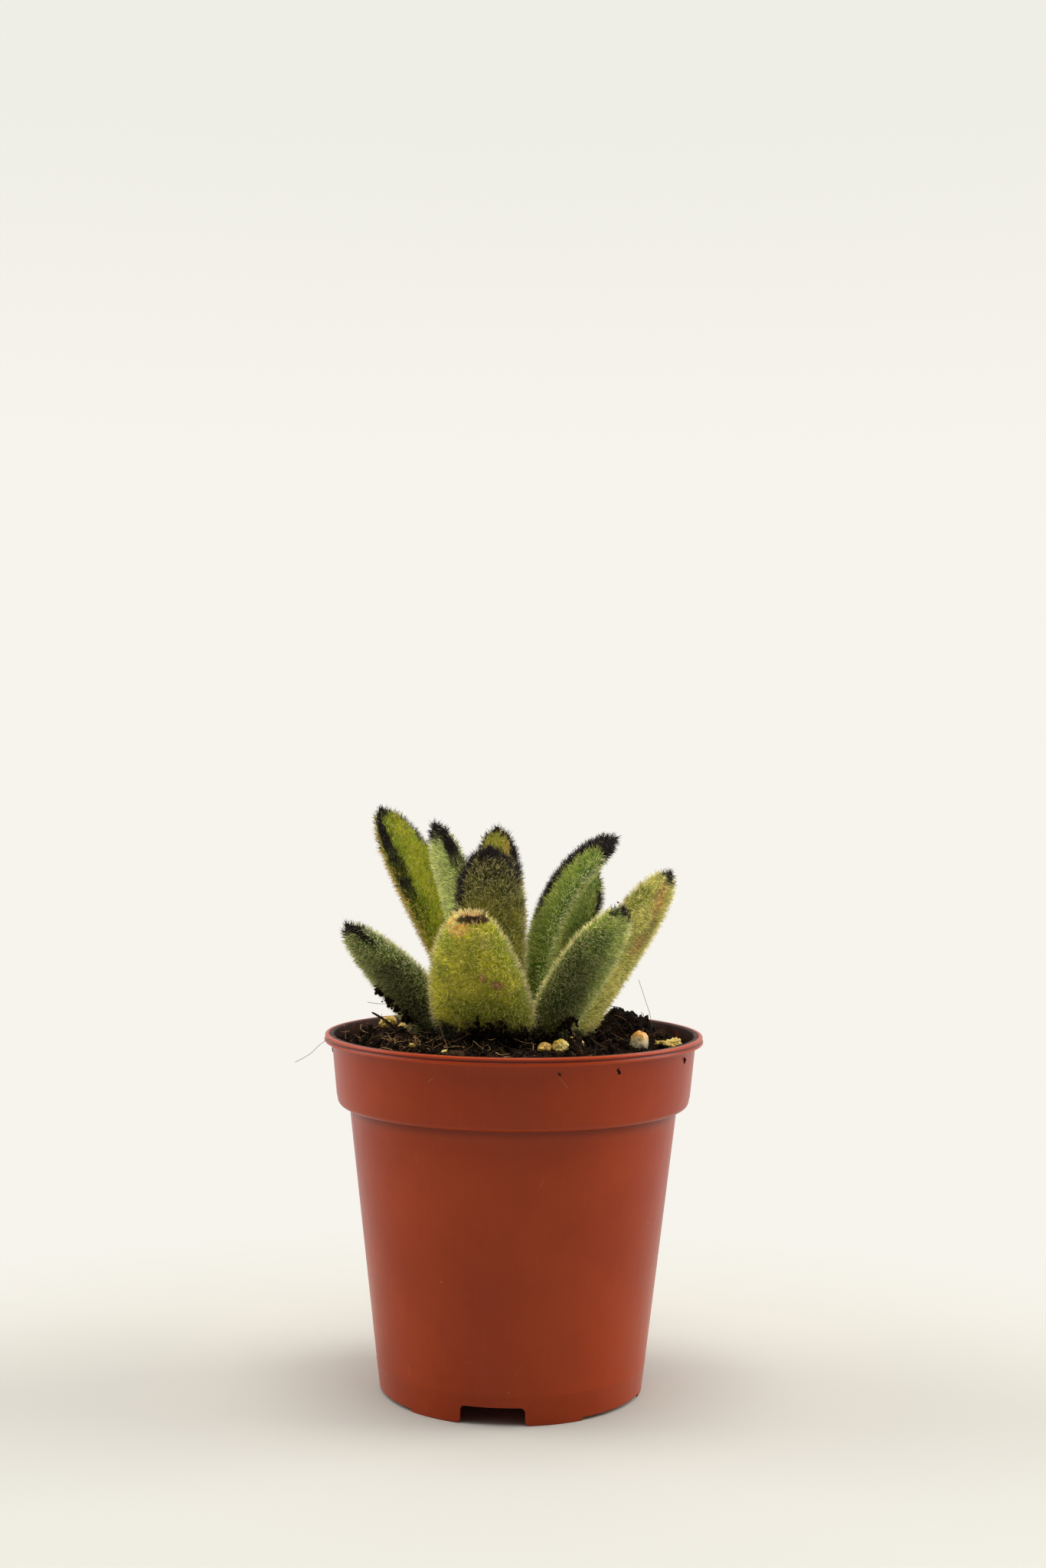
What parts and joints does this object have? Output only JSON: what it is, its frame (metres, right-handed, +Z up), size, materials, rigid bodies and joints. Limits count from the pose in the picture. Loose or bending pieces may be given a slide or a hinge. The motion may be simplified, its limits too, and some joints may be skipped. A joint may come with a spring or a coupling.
{
  "type": "potted kalanchoe plant",
  "caption": "Young panda plant with thick felted leaves in a small tapered plastic nursery pot with a collar rim, filled with dark soil and pale granules.",
  "frame": {"origin": "middle of the pot's base, on the surface that the pot stands on", "axes": "+Z up along the pot's axis, -Y towards the front, +X to the right seen from the front"},
  "size_m": [0.055, 0.055, 0.0836],
  "materials": {
    "terracotta_plastic": "satin",
    "soil": "matte",
    "stem": "matte",
    "felted_leaf": "matte",
    "granule": "satin",
    "bark": "matte"
  },
  "bodies": {
    "root": {"pot": "terracotta_plastic", "potting_soil": "soil", "stem_with_roots": "stem", "leaf_front": "felted_leaf", "leaf_centre": "felted_leaf", "leaf_left_low": "felted_leaf", "leaf_left_tall": "felted_leaf", "leaf_left_inner": "felted_leaf", "leaf_back_centre": "felted_leaf", "leaf_right_tall": "felted_leaf", "leaf_right_behind": "felted_leaf", "leaf_right_front": "felted_leaf", "leaf_right_outer": "felted_leaf", "leaf_rear_low": "felted_leaf", "young_leaf_back": "felted_leaf", "young_leaf_front": "felted_leaf", "granule_right": "granule", "flake_right_upper": "granule", "flake_right_lower": "granule", "granule_centre_left": "granule", "granule_centre_right": "granule", "granule_left_large": "granule", "granule_left_small": "granule", "granule_rear_left": "granule", "granule_rear_right": "granule", "bark_chip_right": "bark", "bark_chip_front": "bark", "bark_chip_rear": "bark", "twig": "bark"}
  },
  "joints": []
}
